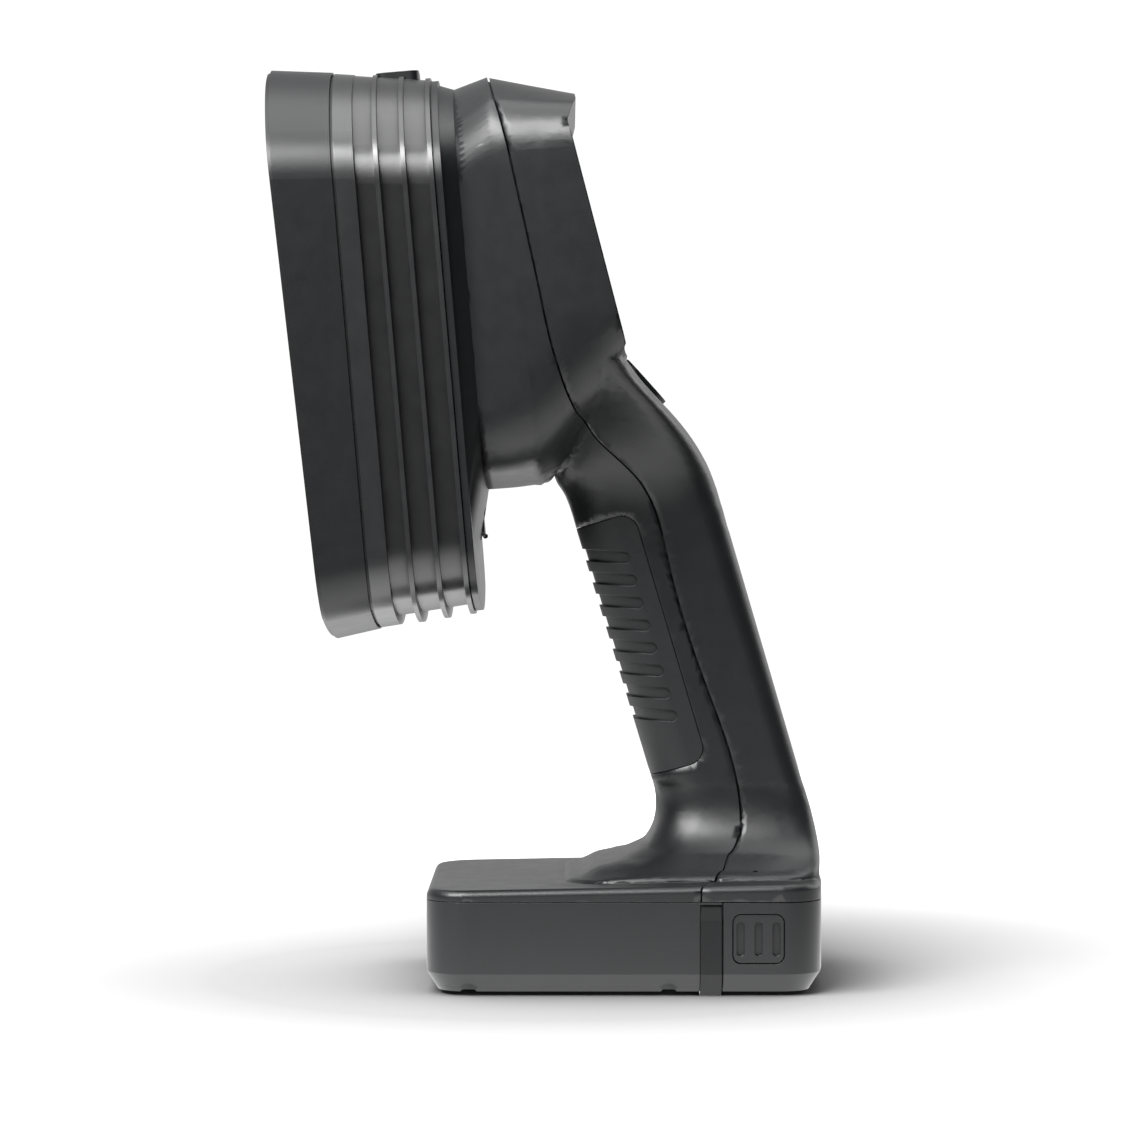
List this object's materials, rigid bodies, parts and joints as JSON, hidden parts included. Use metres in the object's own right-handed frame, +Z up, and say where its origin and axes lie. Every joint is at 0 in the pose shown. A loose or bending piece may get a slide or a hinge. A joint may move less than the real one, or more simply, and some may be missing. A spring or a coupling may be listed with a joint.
{
  "type": "handheld acoustic imaging scanner",
  "caption": "Handheld scanner with a round-cornered finned head, rear display, pistol handle with finger grooves and a slide-out battery in its base.",
  "frame": {"origin": "middle of the bounding box at the base's underside", "axes": "+Z up, the head looks along -Y, X is the width and X = 0 the symmetry plane"},
  "size_m": [0.125, 0.165, 0.2724],
  "materials": {
    "panel_black": "fine texture",
    "membrane": "woven mesh",
    "circuit_board": "solder mask",
    "metal_part": "nickel plated",
    "clear_glass": "polished",
    "shell_plastic": "fine spark texture",
    "cast_aluminium": "black anodised cast",
    "soft_rubber": "matt",
    "chip_black": "moulded",
    "steel": "zinc plated",
    "trim_plastic": "satin",
    "display_glass": "gloss black",
    "strap_rubber": "satin",
    "case_plastic": "matt",
    "cell_wrap": "shrink wrap",
    "gold_contact": "gold plated",
    "cable": "braided sleeve"
  },
  "bodies": {
    "scanner": {"front_panel": "panel_black", "acoustic_membrane": "membrane", "microphone_board": "circuit_board", "microphones": "metal_part", "camera_window": "clear_glass", "camera_barrel": "metal_part", "camera_lens": "clear_glass", "camera_board": "circuit_board", "front_bezel": "shell_plastic", "heat_sink": "cast_aluminium", "head_seal": "soft_rubber", "thermal_pad": "soft_rubber", "signal_board": "circuit_board", "processor_chips": "chip_black", "head_rear_cover": "shell_plastic", "head_screws": "steel", "neck_screws": "steel", "data_port": "metal_part", "front_housing": "shell_plastic", "rear_housing": "shell_plastic", "grip_overlay": "soft_rubber", "housing_screws": "steel", "display_bezel": "trim_plastic", "display_glass": "display_glass", "lcd_module": "metal_part", "main_board": "circuit_board", "power_switch": "chip_black", "thumb_switch": "circuit_board", "base_tray": "shell_plastic", "retaining_strap": "strap_rubber", "base_screws": "steel", "front_foot": "soft_rubber", "battery_socket": "case_plastic", "wire_harness": "cable"},
    "battery_pack": {"battery_cap": "shell_plastic", "battery_case": "case_plastic", "battery_lid": "case_plastic", "battery_cells": "cell_wrap", "battery_board": "circuit_board", "battery_contacts": "gold_contact", "latch_spring_left": "steel", "latch_spring_right": "steel"},
    "latch_left": {"latch_left": "trim_plastic"},
    "latch_right": {"latch_right": "trim_plastic"},
    "power_button": {"power_button": "trim_plastic"},
    "thumb_button": {"thumb_button": "trim_plastic"},
    "port_cover": {"port_cover": "soft_rubber"}
  },
  "joints": [
    {"name": "power_button_press", "type": "slide", "parent": "scanner", "child": "power_button", "axis": [0, 0.0837, -0.9965], "range_m": [0, 0.0008], "stiffness_N_per_m": 900, "springref_m": -0.001},
    {"name": "thumb_button_press", "type": "slide", "parent": "scanner", "child": "thumb_button", "axis": [0, -0.7431, -0.6691], "range_m": [0, 0.001], "stiffness_N_per_m": 1000, "springref_m": -0.001},
    {"name": "battery_slide", "type": "slide", "parent": "scanner", "child": "battery_pack", "axis": [0, 1, 0], "range_m": [0, 0.1]},
    {"name": "latch_left_press", "type": "slide", "parent": "battery_pack", "child": "latch_left", "axis": [1, 0, 0], "range_m": [0, 0.0016], "stiffness_N_per_m": 1200, "springref_m": -0.001, "deforming": ["latch_spring_left"]},
    {"name": "latch_right_press", "type": "slide", "parent": "battery_pack", "child": "latch_right", "axis": [-1, 0, 0], "range_m": [0, 0.0016], "stiffness_N_per_m": 1200, "springref_m": -0.001, "deforming": ["latch_spring_right"]},
    {"name": "port_cover_hinge", "type": "hinge", "parent": "scanner", "child": "port_cover", "pos_m": [0, -0.01805, 0.13278], "axis": [1, 0, 0], "range_deg": [-85, 0]}
  ]
}
